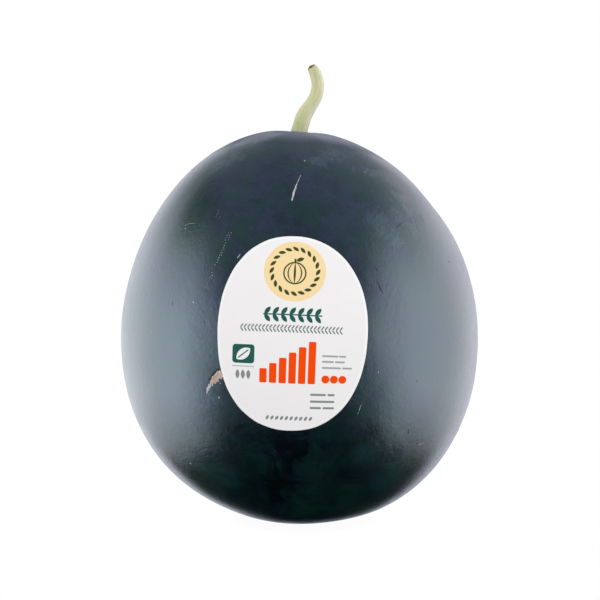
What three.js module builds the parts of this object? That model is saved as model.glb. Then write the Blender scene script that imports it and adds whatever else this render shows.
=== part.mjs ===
// A dark, seedless watermelon that stands on its blossom end, with its dried stem and an oval label.
//
// Units are millimetres and +Z is up. The origin is the middle of the small flat spot that the fruit
// rests on, the stem is at the top, and the label faces -Y. An azimuth is counted from +X towards +Y,
// and a latitude runs from 0 at the fruit's widest ring to 90 degrees at the stem.

import * as THREE from 'three';

const DEGREE = Math.PI / 180;

// The fruit's outline
const EQUATOR_RADIUS = 125; // half of the greatest width
const HALF_LENGTH = 137.6; // from the equator to either end, before the ends are raised
const EGG = 9.1; // how far both ends are raised, which makes the stem end the longer one
const STEM_END_SLIM = 0.0135; // share of the width that the stem end loses
const BLOSSOM_END_FULL = 0.095; // share of the width that the blossom end gains
const SHOULDER_LEAN = 0.064; // slope of the top, higher towards -X
const BASE_LEAN = 0.033; // slope of the underside, lower towards +X
const LOBES = 10; // faint lengthwise swellings
const LOBE_HEIGHT = 0.25;

// A place on the +X shoulder where the fruit grew a little flatter
const FLATTER_LATITUDE = 42 * DEGREE;
const FLATTER_DEPTH = 1.1;
const FLATTER_SPREAD = 9 * DEGREE; // the angle from its middle at which about a third is left of its depth

// The dimple at the stem end
const STEM_DIMPLE_DEPTH = 2.2;
const STEM_DIMPLE_RADIUS = 13;
const CREASE_DEPTH = 0.45; // creases that run out of the dimple between the lobes
const CREASE_RADIUS = 34;

// The flat spot at the blossom end, and the scar in its middle
const FOOT_LATITUDE = -82.7 * DEGREE;
const LEAN_FADE_LATITUDE = -62 * DEGREE; // the underside loses its slope from here to the flat spot
const SCAR_RADIUS = 8;
const SCAR_DEPTH = 1.2;
const SCAR_RINGS = 3;
const FOOT_RINGS = 2;

// The grid of the rind
const RIND_AROUND = 80;
const RIND_RINGS = 36; // from the flat spot to the stem

// The stem: its middle line from the rind to the tip, and its thickness along that line
const STEM_LINE = [
  [-0.8, 0, 0],
  [1.2, 0.4, 7],
  [4.1, 1, 14.1],
  [8, 1.5, 19.9],
  [11.2, 1.8, 25.8],
  [12.4, 2, 32],
  [11.6, 2.2, 38.3],
  [8.6, 2.4, 47.7],
];
const STEM_RADII = [5.2, 5.4, 5.1, 4.5, 4.3, 4.25, 4.05, 3.9];
const STEM_FLARE = 0.4; // how much wider the foot of the stem is
const STEM_FLARE_LENGTH = 3.5;
const STEM_RIBS = 8;
const STEM_RIB_HEIGHT = 0.2;
const STEM_AROUND = 32;
const STEM_RINGS = 26;
const CUT_LOSS_RIGHT = 0.078; // share of the line that is cut or worn off on the stem's +X side
const CUT_LOSS_LEFT = 0.018;
const CUT_LOSS_FRONT = 0.032;
const CUT_HOLLOW = 2.6; // depth of the hollow in the middle of the cut
const CUT_RINGS = 2;

// The label: an oval film that follows the rind
const LABEL_WIDTH = 100;
const LABEL_HEIGHT = 129;
const LABEL_SQUARENESS = 2.2; // 2 is an ellipse, more is squarer
const LABEL_TAPER = 0.04; // share of its width that its top gains and its bottom loses
const LABEL_ROLL = -2 * DEGREE; // its top leans towards +X
const LABEL_ASIDE = -5.5; // its middle, measured along the equator from the front
const LABEL_LATITUDE = 5.1 * DEGREE;
const LABEL_THICKNESS = 0.5;
const LABEL_RINGS = 7;
const LABEL_AROUND = 44;

const GAP = 0.3; // between pieces that touch

const smoothStep = (from, to, value) => THREE.MathUtils.smoothstep(value, from, to);

// Radius of the fruit at a latitude, before its lobes.
function ringRadius(latitude) {
  const along = Math.sin(latitude);
  const slim = 1 - STEM_END_SLIM * Math.max(along, 0) ** 3;
  const full = 1 + BLOSSOM_END_FULL * Math.max(-along, 0) ** 3;
  return EQUATOR_RADIUS * Math.cos(latitude) * slim * full;
}

// Height of the fruit's skin above its equator at a latitude.
function heightFromEquator(latitude) {
  const along = Math.sin(latitude);
  return HALF_LENGTH * along + EGG * along ** 2 * (1.5 - 0.5 * along ** 2);
}

const FOOT_RADIUS = ringRadius(FOOT_LATITUDE);
const EQUATOR_HEIGHT = -heightFromEquator(FOOT_LATITUDE);

// Slope of a ring of the fruit towards +X.
function leanAt(latitude) {
  const along = Math.sin(latitude);
  if (along > 0) return SHOULDER_LEAN * along ** 2;
  return BASE_LEAN * Math.abs(along) ** 3 * smoothStep(FOOT_LATITUDE, LEAN_FADE_LATITUDE, latitude);
}

// How deep the flatter place is at a place on the rind.
function flatterDepth(azimuth, latitude) {
  const level = Math.cos(latitude) * Math.cos(FLATTER_LATITUDE) * Math.cos(azimuth);
  const upright = Math.sin(latitude) * Math.sin(FLATTER_LATITUDE);
  const away = Math.acos(Math.min(level + upright, 1));
  return FLATTER_DEPTH * Math.exp(-((away / FLATTER_SPREAD) ** 2));
}

// A point on the rind above the flat spot.
function rindPoint(azimuth, latitude) {
  const bare = ringRadius(latitude);
  const lobe = Math.cos(LOBES * azimuth);
  const fullness = Math.cos(latitude) ** 2;
  const shrink = 1 - flatterDepth(azimuth, latitude) / EQUATOR_RADIUS;
  const radius = (bare + LOBE_HEIGHT * fullness * (lobe - 1)) * shrink;
  const x = radius * Math.cos(azimuth);
  const y = radius * Math.sin(azimuth);
  let z = EQUATOR_HEIGHT + heightFromEquator(latitude) * shrink - leanAt(latitude) * x;
  if (latitude > 0) {
    z -= STEM_DIMPLE_DEPTH * Math.exp(-((bare / STEM_DIMPLE_RADIUS) ** 2));
    const crease = (bare / CREASE_RADIUS) ** 2 * Math.exp(1 - (bare / CREASE_RADIUS) ** 2);
    z -= CREASE_DEPTH * crease * (0.5 - 0.5 * lobe);
  }
  return new THREE.Vector3(x, y, z);
}

// A closed body with a pole at each end: a lathe grid whose points go where pointAt says.
// Rows run from the lower pole to the upper one.
function gridBody(rows, around, pointAt) {
  const profile = [];
  for (let row = 0; row <= rows; row++) {
    const isPole = row === 0 || row === rows;
    profile.push(new THREE.Vector2(isPole ? 0 : 1, row));
  }
  const geometry = new THREE.LatheGeometry(profile, around);
  const places = geometry.attributes.position;
  for (let i = 0; i < places.count; i++) {
    const row = Math.round(places.getY(i));
    const azimuth = Math.atan2(places.getX(i), places.getZ(i));
    const point = pointAt(row, azimuth);
    places.setXYZ(i, point.x, point.y, point.z);
  }
  return geometry;
}

// The flat spot, from the middle of the scar outwards.
function footPoint(row, azimuth) {
  const inScar = row <= SCAR_RINGS;
  const share = inScar ? row / SCAR_RINGS : (row - SCAR_RINGS) / FOOT_RINGS;
  const radius = inScar ? SCAR_RADIUS * share : THREE.MathUtils.lerp(SCAR_RADIUS, FOOT_RADIUS, share);
  const hollow = inScar ? SCAR_DEPTH * (1 - share ** 2) ** 2 : 0;
  return new THREE.Vector3(radius * Math.cos(azimuth), radius * Math.sin(azimuth), hollow);
}

function fruitGeometry() {
  const footRows = SCAR_RINGS + FOOT_RINGS;
  return gridBody(footRows + RIND_RINGS, RIND_AROUND, (row, azimuth) => {
    if (row <= footRows) return footPoint(row, azimuth);
    const share = (row - footRows) / RIND_RINGS;
    return rindPoint(azimuth, THREE.MathUtils.lerp(FOOT_LATITUDE, Math.PI / 2, share));
  });
}

// Value at a share from 0 to 1 of a list of evenly spaced values.
function valueAt(values, share) {
  const place = share * (values.length - 1);
  const index = Math.min(Math.floor(place), values.length - 2);
  return THREE.MathUtils.lerp(values[index], values[index + 1], place - index);
}

// Height of the rind near the stem, over the point x, y.
function rindHeightNearStem(x, y) {
  const distance = Math.hypot(x, y);
  const latitude = Math.acos(distance / (EQUATOR_RADIUS * (1 - STEM_END_SLIM)));
  return rindPoint(Math.atan2(y, x), latitude).z;
}

function stemGeometry() {
  const stemBottom = rindPoint(0, Math.PI / 2).z + GAP;
  const points = STEM_LINE.map(([x, y, z]) => new THREE.Vector3(x, y, stemBottom + z));
  const line = new THREE.CatmullRomCurve3(points);

  // The share of the line where the stem's side ends. The back of the stem runs on the longest.
  function sideEnd(azimuth) {
    const aside = Math.cos(azimuth);
    const flank = aside > 0 ? CUT_LOSS_RIGHT * aside ** 3 : CUT_LOSS_LEFT * aside ** 2;
    return 1 - flank - CUT_LOSS_FRONT * (0.5 - 0.5 * Math.sin(azimuth));
  }

  // A point on the stem's side, with its ribs and its wider foot.
  function sidePoint(share, azimuth) {
    const place = share * sideEnd(azimuth);
    const centre = line.getPoint(place);
    const forward = line.getTangent(place);
    const right = new THREE.Vector3(0, 1, 0).cross(forward).normalize();
    const back = forward.clone().cross(right);
    const rise = centre.z - stemBottom;
    const flare = STEM_FLARE * Math.exp(-rise / STEM_FLARE_LENGTH);
    const rib = STEM_RIB_HEIGHT * Math.cos(STEM_RIBS * azimuth);
    const radius = valueAt(STEM_RADII, place) + flare + rib;
    const point = centre.addScaledVector(right, radius * Math.cos(azimuth));
    return point.addScaledVector(back, radius * Math.sin(azimuth));
  }

  // The cut face: each ring is the end of the side drawn in towards the middle, which is hollow.
  function cutPoint(inward, azimuth) {
    const middle = line.getPoint(1);
    middle.z -= CUT_HOLLOW * Math.sin(inward * Math.PI / 2);
    return sidePoint(1, azimuth).lerp(middle, inward);
  }

  const sideRows = STEM_RINGS + 1;
  return gridBody(sideRows + CUT_RINGS, STEM_AROUND, (row, azimuth) => {
    if (row === 0) return new THREE.Vector3(0, 0, stemBottom);
    if (row >= sideRows) return cutPoint((row - sideRows) / CUT_RINGS, azimuth);
    const point = sidePoint((row - 1) / STEM_RINGS, azimuth);
    if (row === 1) point.z = rindHeightNearStem(point.x, point.y) + GAP;
    return point;
  });
}

// A point over the rind under a place on the flat label, measured from the label's middle.
function labelPoint(across, up, lift) {
  const side = LABEL_ASIDE / EQUATOR_RADIUS - Math.PI / 2;
  const normal = new THREE.Vector3(
    Math.cos(LABEL_LATITUDE) * Math.cos(side),
    Math.cos(LABEL_LATITUDE) * Math.sin(side),
    Math.sin(LABEL_LATITUDE),
  );
  const right = new THREE.Vector3(-Math.sin(side), Math.cos(side), 0);
  const top = normal.clone().cross(right);
  const turn = new THREE.Vector2(across, up).rotateAround(new THREE.Vector2(), LABEL_ROLL);
  const x = turn.x / EQUATOR_RADIUS;
  const y = turn.y / HALF_LENGTH;
  const angle = Math.hypot(x, y);
  const bend = angle > 0 ? Math.sin(angle) / angle : 1;
  const ray = normal.clone().multiplyScalar(Math.cos(angle));
  ray.addScaledVector(right, x * bend).addScaledVector(top, y * bend);
  const point = rindPoint(Math.atan2(ray.y, ray.x), Math.asin(ray.z));
  const outward = new THREE.Vector3(point.x, point.y, 0).divideScalar(EQUATOR_RADIUS ** 2);
  outward.z = (point.z - EQUATOR_HEIGHT) / HALF_LENGTH ** 2;
  return point.addScaledVector(outward.normalize(), lift);
}

// Distance from the label's middle to its edge in a direction, before its taper: an oval a little
// squarer than an ellipse.
function labelReach(azimuth) {
  const across = Math.abs(Math.cos(azimuth) * 2 / LABEL_WIDTH) ** LABEL_SQUARENESS;
  const up = Math.abs(Math.sin(azimuth) * 2 / LABEL_HEIGHT) ** LABEL_SQUARENESS;
  return (across + up) ** (-1 / LABEL_SQUARENESS);
}

function labelGeometry() {
  return gridBody(2 * LABEL_RINGS + 1, LABEL_AROUND, (row, azimuth) => {
    const isUnder = row <= LABEL_RINGS;
    const ring = isUnder ? row : 2 * LABEL_RINGS + 1 - row;
    const reach = labelReach(azimuth) * ring / LABEL_RINGS;
    const up = reach * Math.sin(azimuth);
    const across = reach * Math.cos(azimuth) * (1 + LABEL_TAPER * 2 * up / LABEL_HEIGHT);
    return labelPoint(across, up, isUnder ? GAP : GAP + LABEL_THICKNESS);
  });
}

function piece(name, geometry, color, roughness) {
  const material = new THREE.MeshStandardMaterial({ color, roughness, metalness: 0 });
  const mesh = new THREE.Mesh(geometry, material);
  mesh.name = name;
  return mesh;
}

const watermelon = new THREE.Group();
watermelon.add(
  piece('fruit', fruitGeometry(), 0x17262a, 0.34),
  piece('stem', stemGeometry(), 0xc9cc98, 0.75),
  piece('label', labelGeometry(), 0xf1efef, 0.45),
);

export default watermelon;
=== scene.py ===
# A dark seedless watermelon with its dried stem and its oval film label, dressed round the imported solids.
#
# Metres, +Z up, in the frame of the solids: the origin is the middle of the flat spot that the fruit
# stands on, the stem is at the top and the label faces -Y. An azimuth is counted from +X towards +Y,
# and a latitude runs from 0 at the fruit's widest ring to 90 degrees at the stem.

import math
import random

import bpy
import numpy as np
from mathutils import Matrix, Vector
from mathutils.bvhtree import BVHTree


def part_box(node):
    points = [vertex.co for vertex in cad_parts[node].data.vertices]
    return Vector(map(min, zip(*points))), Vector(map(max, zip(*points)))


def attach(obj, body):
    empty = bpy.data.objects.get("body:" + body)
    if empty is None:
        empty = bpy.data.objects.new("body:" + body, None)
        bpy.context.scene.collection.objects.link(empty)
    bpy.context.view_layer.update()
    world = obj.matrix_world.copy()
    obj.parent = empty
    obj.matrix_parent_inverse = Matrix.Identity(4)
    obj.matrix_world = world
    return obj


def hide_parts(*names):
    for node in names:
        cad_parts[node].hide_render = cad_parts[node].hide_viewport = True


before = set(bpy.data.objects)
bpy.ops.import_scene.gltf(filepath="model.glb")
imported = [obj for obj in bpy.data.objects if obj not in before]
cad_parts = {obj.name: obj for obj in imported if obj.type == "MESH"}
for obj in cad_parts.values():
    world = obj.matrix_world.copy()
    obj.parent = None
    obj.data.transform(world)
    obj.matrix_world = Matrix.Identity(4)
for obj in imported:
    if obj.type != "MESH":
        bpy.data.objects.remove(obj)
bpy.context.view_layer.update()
fruit_low, fruit_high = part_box("fruit")

MM = 0.001

# The fruit's outline, as in the solid
EQUATOR_RADIUS = (fruit_high.x - fruit_low.x) / 2
HALF_LENGTH = 137.6 * MM
EGG = 9.1 * MM
STEM_END_SLIM = 0.0135
BLOSSOM_END_FULL = 0.095
SHOULDER_LEAN = 0.064
BASE_LEAN = 0.033
LOBES = 10
LOBE_HEIGHT = 0.25 * MM
FLATTER_LATITUDE = math.radians(42)
FLATTER_DEPTH = 1.1 * MM
FLATTER_SPREAD = math.radians(9)
STEM_DIMPLE_DEPTH = 2.2 * MM
STEM_DIMPLE_RADIUS = 13 * MM
CREASE_DEPTH = 0.45 * MM
CREASE_RADIUS = 34 * MM
FOOT_LATITUDE = math.radians(-82.7)
LEAN_FADE_LATITUDE = math.radians(-62)
SCAR_RADIUS = 8 * MM
SCAR_DEPTH = 1.2 * MM

# Slow swellings of the rind, each a wave in a direction of its own
SWELLINGS = 14
SWELLING_HEIGHT = 0.22 * MM
SWELLING_WAVES = (4, 22)  # smallest and largest number of radians across the fruit's radius
SWELLING_SEED = 5

RIND_AROUND = 384
RIND_RINGS = 216
SCAR_RINGS = 16
FOOT_RINGS = 6

# The stem's middle line and its radii along it, in millimetres as in the solid, and its finer relief
STEM_LINE = [
    (-0.8, 0, 0), (1.2, 0.4, 7), (4.1, 1, 14.1), (8, 1.5, 19.9),
    (11.2, 1.8, 25.8), (12.4, 2, 32), (11.6, 2.2, 38.3), (8.6, 2.4, 47.7),
]
STEM_RADII = (5.2, 5.4, 5.1, 4.5, 4.3, 4.25, 4.05, 3.9)
STEM_FLARE = 0.4 * MM
STEM_FLARE_LENGTH = 3.5 * MM
STEM_RIBS = 8
STEM_RIB_HEIGHT = 0.2 * MM
STEM_STRANDS = 27
STEM_STRAND_HEIGHT = 0.03 * MM
STEM_KNOT_HEIGHT = 0.1 * MM
STEM_AROUND = 216
STEM_RINGS = 150
CUT_LOSS_RIGHT = 0.078  # share of the line that is cut or worn off on the stem's +X side
CUT_LOSS_LEFT = 0.018
CUT_LOSS_FRONT = 0.032
CUT_FRAY = 0.004
CUT_ROUGHNESS = 0.25 * MM
CUT_HOLLOW = 2.6 * MM
CUT_RINGS = 14
CUT_RIM = 0.1  # share of the cut's radius that its pale rim takes
CUT_DARK_SIDE = (2.4 * MM, 0.6 * MM)  # the cut is dark on the -X side and worn pale past here

# The label
LABEL_WIDTH = 100 * MM
LABEL_HEIGHT = 129 * MM
LABEL_SQUARENESS = 2.2
LABEL_TAPER = 0.04
LABEL_ROLL = math.radians(-2)
LABEL_ASIDE = -5.5 * MM
LABEL_LATITUDE = math.radians(5.1)
LABEL_CLEARANCE = 0.06 * MM
LABEL_THICKNESS = 0.16 * MM
LABEL_AROUND = 240
LABEL_RINGS = 44
LABEL_PUCKER = 0.09 * MM  # film on a round fruit puckers a little at its edge
LABEL_EDGE_DROP = 0.06 * MM

# Short printed dashes: the middle of each and its width, in millimetres from the label's middle
PALE_DASHES = [
    (25.6, -11.4, 10.4), (33.6, -11.4, 4.4),
    (24.2, -15.1, 7.6), (32.1, -15.1, 6.4),
    (26.6, -19.1, 12.4), (37, -19.1, 6.4),
]
GREY_DASHES = [
    (18.6, -37.5, 10.2), (27.2, -37.5, 4.6),
    (21.5, -42.3, 16),
    (17.2, -46.9, 7.4), (25.8, -46.9, 7.4),
]

# The camera stands where the photograph was taken from
CAMERA_DISTANCE = 1.5
CAMERA_ELEVATION = math.radians(5)
CAMERA_LENS = 128.3
CAMERA_SENSOR = 36
CAMERA_AIM_RISE = 27.7 * MM  # it aims this far above the fruit's widest ring
PICTURE_SIZE = 600

# Places in the picture are in its pixels, counted from the top left corner.
# Patches of the rind, each a pixel and a radius in millimetres: where the wax bloom is rubbed off, where
# the skin is a lighter green, where the bloom is thick, where a pale painted highlight lies on the top
# rim, and where the skin is dark or brownish
RUBBED_PATCHES = [
    (190, 199, 15), (201, 176, 13), (193, 226, 11), (184, 246, 8), (218, 168, 9), (253, 150, 13),
    (226, 244, 8), (372, 185, 12), (356, 178, 9), (388, 198, 11), (240, 228, 11), (372, 241, 10),
    (391, 243, 6), (366, 191, 6), (424, 262, 8), (434, 296, 7), (398, 433, 6),
]
GREEN_PATCHES = [
    (177, 452, 12), (200, 462, 17), (224, 476, 13), (398, 462, 11), (366, 453, 10), (384, 480, 12),
]
HAZY_PATCHES = [
    (378, 223, 8), (367, 172, 5), (401, 214, 9), (399, 196, 4), (222, 164, 9), (234, 157, 7),
    (412, 230, 6), (396, 240, 8), (333, 155, 8), (318, 162, 5), (363, 173, 3), (404, 221, 8),
    (211, 399, 8), (386, 178, 6),
]
RIM_HIGHLIGHT_PATCHES = [
    (364, 147.6, 13), (352, 142.9, 15), (340, 139.4, 15), (328, 136.6, 13), (316, 134.4, 8),
    (268, 134.8, 9), (255, 138, 14), (244, 141.4, 9),
]
DARK_PATCHES = [
    (282, 440, 9), (298, 449, 12), (280, 456, 10), (278, 470, 9), (277, 485, 8), (278, 500, 7),
]
BROWN_PATCHES = [
    (393, 180, 6), (399, 186, 7), (404, 193, 7), (408, 201, 6), (411, 209, 5),
]

# Marks: the pixels that each runs through, its widths from end to end in millimetres, and how ragged
# its edges are
CORKY_MARKS = [
    ([(223, 372), (217.5, 376.5), (213.2, 381), (210, 384.4)], (5.2, 5.4, 5.0, 1.4), 0.25),
    ([(304.4, 160), (305, 161.6)], (0.3, 0.7, 0.2), 0.2),
]
PALE_MARKS = [
    ([(301, 174.5), (296.8, 184), (293.8, 192.5), (291.6, 201.5)], (0.2, 0.5, 1.3, 0.9), 0.2),
    ([(212.4, 382.4), (208.8, 387.5), (206.4, 394)], (2.4, 2.1, 0.6), 0.4),
    ([(209, 387.6), (206, 388.8)], (0.5, 0.9, 0.3), 0.3),
    ([(216.6, 379.6), (215.2, 382.6)], (0.8, 1.8, 0.8), 0.5),
    ([(219.7, 383), (220.3, 383.8)], (0.6, 1.0, 0.6), 0.2),
    ([(184.5, 225.6), (189.5, 223.6), (195.5, 223.4)], (0.08, 0.2, 0.08), 0.5),
    ([(184.6, 229), (186.4, 227.4)], (0.1, 0.35, 0.1), 0.3),
    ([(236.8, 259), (240.8, 253.4)], (0.2, 0.6, 0.2), 0.4),
    ([(193, 301), (193.4, 303.2)], (0.3, 0.9, 0.3), 0.3),
    ([(150.4, 331), (151, 332.8)], (0.6, 1.3, 0.5), 0.2),
    ([(190.2, 462.5), (190.6, 464.3)], (0.3, 0.9, 0.3), 0.3),
    ([(218.8, 396), (219.2, 399)], (0.2, 0.8, 0.2), 0.3),
    ([(378, 371.4), (378.8, 372.6)], (0.3, 0.7, 0.3), 0.3),
    ([(362, 402.5), (360, 408), (357.6, 415)], (0.06, 0.3, 0.2), 0.6),
    ([(418, 445), (423.5, 443)], (0.1, 0.3, 0.1), 0.9),
    ([(215.5, 218), (218, 213), (219.4, 208.6)], (0.03, 0.06, 0.03), 0.4),
    ([(218.5, 219), (221, 215.4)], (0.03, 0.06, 0.03), 0.4),
    ([(363.6, 171.4), (366.4, 173.6)], (0.1, 0.3, 0.1), 0.8),
]
# Rows of short pale pricks: the pixels from end to end, how many, and their width in millimetres
PRICKED_LINES = [
    ([(231.4, 232.4), (226.6, 241)], 4, 0.4),
    ([(228.6, 232.6), (224.6, 241.4)], 4, 0.4),
    ([(225.4, 242.8), (220.6, 254), (215.2, 266)], 10, 0.7),
    ([(223.6, 249.6), (221, 256.4)], 3, 0.5),
    ([(212, 272.2), (210.6, 279.6)], 3, 0.75),
]
DARK_MARKS = [
    ([(219.4, 367.8), (213.8, 373.4), (207.8, 380.8)], (0.6, 1.6, 0.6), 0.3),
    ([(376.4, 279.8), (379.6, 287), (383.6, 294.4)], (0.3, 1.0, 0.2), 0.2),
    ([(375, 267.5), (376.8, 270), (378.4, 272.8)], (0.2, 0.8, 0.2), 0.2),
    ([(394.5, 229), (400, 224.6), (405.4, 220)], (0.15, 0.5, 0.12), 0.4),
    ([(172.8, 300.6), (172, 306.6)], (0.15, 0.6, 0.15), 0.3),
    ([(417.6, 213), (421.6, 218), (425, 225.5)], (0.1, 0.4, 0.1), 0.3),
    ([(448.4, 261.2), (450, 262.8)], (0.3, 0.8, 0.2), 0.3),
    ([(416.4, 380.4), (417.4, 381.8)], (0.3, 0.8, 0.2), 0.3),
    ([(408.8, 428.4), (408, 434.4)], (0.4, 1.1, 0.4), 0.3),
    ([(416, 443), (417.6, 443.6)], (0.5, 1.3, 0.5), 0.3),
    ([(365.2, 368.6), (366.8, 366)], (0.9, 1.2, 0.3), 0.3),
]

# Marks on the sides that the picture doesn't show, drawn at random
HIDDEN_MARKS = 46
HIDDEN_MARK_SEED = 12
HIDDEN_MARK_LENGTHS = (0.9, 1.4, 2.5, 4, 8, 15)  # in millimetres
HIDDEN_MARK_HEIGHTS = (-0.85, 0.93)  # sines of the lowest and the highest latitude
HIDDEN_MARK_OVERLAP = 0.25  # angle by which they reach round to the front
SCAB_HEIGHT = 0.22 * MM
SCUFF_HEIGHT = 0.08 * MM
SCRATCH_HEIGHT = 0.05 * MM
MARK_SUNK = 0.25 * MM  # how deep a mark's underside lies in the rind
MARK_STEP = 0.5 * MM
MARK_AROUND = 12

# The rind's material
BLOOM_HEIGHTS = (40 * MM, 140 * MM)  # no wax bloom below the first, all of it above the second
TOP_HEIGHTS = (200 * MM, 250 * MM)  # the same for the dull ring round the stem and for its painted highlight
HIGHLIGHT_RING = (46 * MM, 24 * MM)  # its outer and inner radius as a pale colour, a painted highlight
DULL_RING = (64 * MM, 36 * MM)  # and as a loss of gloss
SCAR_EDGE = (8.5 * MM, 6.5 * MM)  # the blossom scar's cork starts and is full at these radii
SCAR_TOP = (6 * MM, 2 * MM)  # and at these heights
RIND_IOR = 1.68
RIND_TINT = (0.685, 0.84, 0.96, 1.0)  # of what the rind mirrors


def value_at(share, values):
    """The value at a share of the way along evenly spaced values."""
    return np.interp(share * (len(values) - 1), range(len(values)), values)


def smooth_step(low, high, value):
    share = np.clip((value - low) / (high - low), 0, 1)
    return share * share * (3 - 2 * share)


# ---- the rind's surface


def ring_radius(latitude):
    along = np.sin(latitude)
    slim = 1 - STEM_END_SLIM * np.clip(along, 0, 1) ** 3
    full = 1 + BLOSSOM_END_FULL * np.clip(-along, 0, 1) ** 3
    return EQUATOR_RADIUS * np.cos(latitude) * slim * full


def height_from_equator(latitude):
    along = np.sin(latitude)
    return HALF_LENGTH * along + EGG * along**2 * (1.5 - 0.5 * along**2)


EQUATOR_HEIGHT = -height_from_equator(FOOT_LATITUDE)
FOOT_RADIUS = ring_radius(FOOT_LATITUDE)


def lean_at(latitude):
    along = np.sin(latitude)
    fade = smooth_step(FOOT_LATITUDE, LEAN_FADE_LATITUDE, latitude)
    return np.where(along > 0, SHOULDER_LEAN * along**2, BASE_LEAN * np.abs(along) ** 3 * fade)


def make_swellings():
    draw = random.Random(SWELLING_SEED)
    waves = []
    for _ in range(SWELLINGS):
        heading = Vector([draw.gauss(0, 1) for _ in range(3)]).normalized()
        rate = draw.uniform(*SWELLING_WAVES)
        phase = draw.uniform(0, 2 * math.pi)
        waves.append((heading * rate, phase, SWELLING_HEIGHT * SWELLING_WAVES[0] / rate))
    return waves


SWELLING_LIST = make_swellings()


def swelling(azimuth, latitude):
    """How far the rind swells out at a place. It is nothing at the stem and at the flat spot."""
    x = np.cos(latitude) * np.cos(azimuth)
    y = np.cos(latitude) * np.sin(azimuth)
    z = np.sin(latitude)
    total = 0
    for wave, phase, height in SWELLING_LIST:
        total = total + height * np.sin(wave.x * x + wave.y * y + wave.z * z + phase)
    return total * np.cos(latitude) ** 2


def rind_normals(points):
    """Outward directions at points on the rind, from the plain egg shape."""
    slopes = (points - (0, 0, EQUATOR_HEIGHT)) / (EQUATOR_RADIUS**2, EQUATOR_RADIUS**2, HALF_LENGTH**2)
    return slopes / np.linalg.norm(slopes, axis=-1, keepdims=True)


def flatter_depth(azimuth, latitude):
    level = np.cos(latitude) * math.cos(FLATTER_LATITUDE) * np.cos(azimuth)
    upright = np.sin(latitude) * math.sin(FLATTER_LATITUDE)
    away = np.arccos(np.minimum(level + upright, 1))
    return FLATTER_DEPTH * np.exp(-((away / FLATTER_SPREAD) ** 2))


def rind_points(azimuth, latitude):
    """Points on the rind above the flat spot, with x, y and z along the last axis."""
    bare = ring_radius(latitude)
    lobe = np.cos(LOBES * azimuth)
    shrink = 1 - flatter_depth(azimuth, latitude) / EQUATOR_RADIUS
    radius = (bare + LOBE_HEIGHT * np.cos(latitude) ** 2 * (lobe - 1)) * shrink
    radius = radius + swelling(azimuth, latitude)
    x = radius * np.cos(azimuth)
    y = radius * np.sin(azimuth)
    z = EQUATOR_HEIGHT + height_from_equator(latitude) * shrink - lean_at(latitude) * x
    dimple = STEM_DIMPLE_DEPTH * np.exp(-((bare / STEM_DIMPLE_RADIUS) ** 2))
    crease = (bare / CREASE_RADIUS) ** 2 * np.exp(1 - (bare / CREASE_RADIUS) ** 2)
    top = dimple + CREASE_DEPTH * crease * (0.5 - 0.5 * lobe)
    z = z - np.where(latitude > 0, top, 0)
    return np.stack([x, y, z], axis=-1)


def foot_points(azimuth, radius):
    """Points on the flat spot and in the hollow of its scar."""
    share = np.clip(radius / SCAR_RADIUS, 0, 1)
    z = SCAR_DEPTH * (1 - share**2) ** 2
    return np.stack([radius * np.cos(azimuth), radius * np.sin(azimuth), z], axis=-1)


# ---- places in the picture

CAMERA_BACK = Vector((0, -math.cos(CAMERA_ELEVATION), math.sin(CAMERA_ELEVATION)))
CAMERA_PLACE = Vector((0, 0, EQUATOR_HEIGHT)) + CAMERA_BACK * CAMERA_DISTANCE
CAMERA_AIM = Vector((0, 0, EQUATOR_HEIGHT + CAMERA_AIM_RISE))
CAMERA_TURN = (CAMERA_AIM - CAMERA_PLACE).to_track_quat("-Z", "Y")
FOCAL_PIXELS = CAMERA_LENS / CAMERA_SENSOR * PICTURE_SIZE


def pixel_ray(pixel):
    """The direction in which the camera sees a pixel."""
    across = pixel[0] - PICTURE_SIZE / 2
    up = PICTURE_SIZE / 2 - pixel[1]
    return (CAMERA_TURN @ Vector((across, up, -FOCAL_PIXELS))).normalized()


def seen_place(pixel):
    """The point of the rind that the camera sees at a pixel."""
    return RIND_SURFACE.ray_cast(CAMERA_PLACE, pixel_ray(pixel))[0]


# ---- meshes


def grid_faces(rows, around, offset):
    """Quads between rows of points that close on themselves, facing out if rows run upwards."""
    faces = []
    for row in range(rows - 1):
        first = offset + row * around
        for step in range(around):
            after = (step + 1) % around
            faces.append((first + step, first + after, first + around + after, first + around + step))
    return faces


def pole_faces(pole, ring_start, around, pole_is_below):
    """Triangles between a single point and the ring next to it."""
    faces = []
    for step in range(around):
        here = ring_start + step
        after = ring_start + (step + 1) % around
        faces.append((pole, after, here) if pole_is_below else (pole, here, after))
    return faces


def add_object(name, data):
    thing = bpy.data.objects.new(name, data)
    bpy.context.scene.collection.objects.link(thing)
    return thing


def add_mesh(name, points, faces, material):
    mesh = bpy.data.meshes.new(name)
    mesh.from_pydata([tuple(point) for point in points], [], faces)
    mesh.materials.append(material)
    return add_object(name, mesh)


def make_piece(name, points, faces, material, replaced=None):
    piece = add_mesh(name, points, faces, material)
    piece.data.polygons.foreach_set("use_smooth", [True] * len(faces))
    piece.data.update()
    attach(piece, "root")
    if replaced:
        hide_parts(replaced)
    return piece


def store_vectors(piece, name, vectors):
    """Keeps a vector for each point of a piece, which its material reads."""
    store = piece.data.attributes.new(name, "FLOAT_VECTOR", "POINT")
    store.data.foreach_set("vector", np.array(vectors).ravel())


def closed_body(rings):
    """Points and faces of a body from its rings of points, given from the bottom up.
    The first and last rings are single points."""
    around = len(rings[1])
    middle = rings[1:-1]
    points = [rings[0][0]] + [point for ring in middle for point in ring] + [rings[-1][0]]
    faces = pole_faces(0, 1, around, True)
    faces += grid_faces(len(middle), around, 1)
    faces += pole_faces(len(points) - 1, 1 + (len(middle) - 1) * around, around, False)
    return points, faces


def circle(count):
    return np.arange(count) * (2 * math.pi / count)


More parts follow.
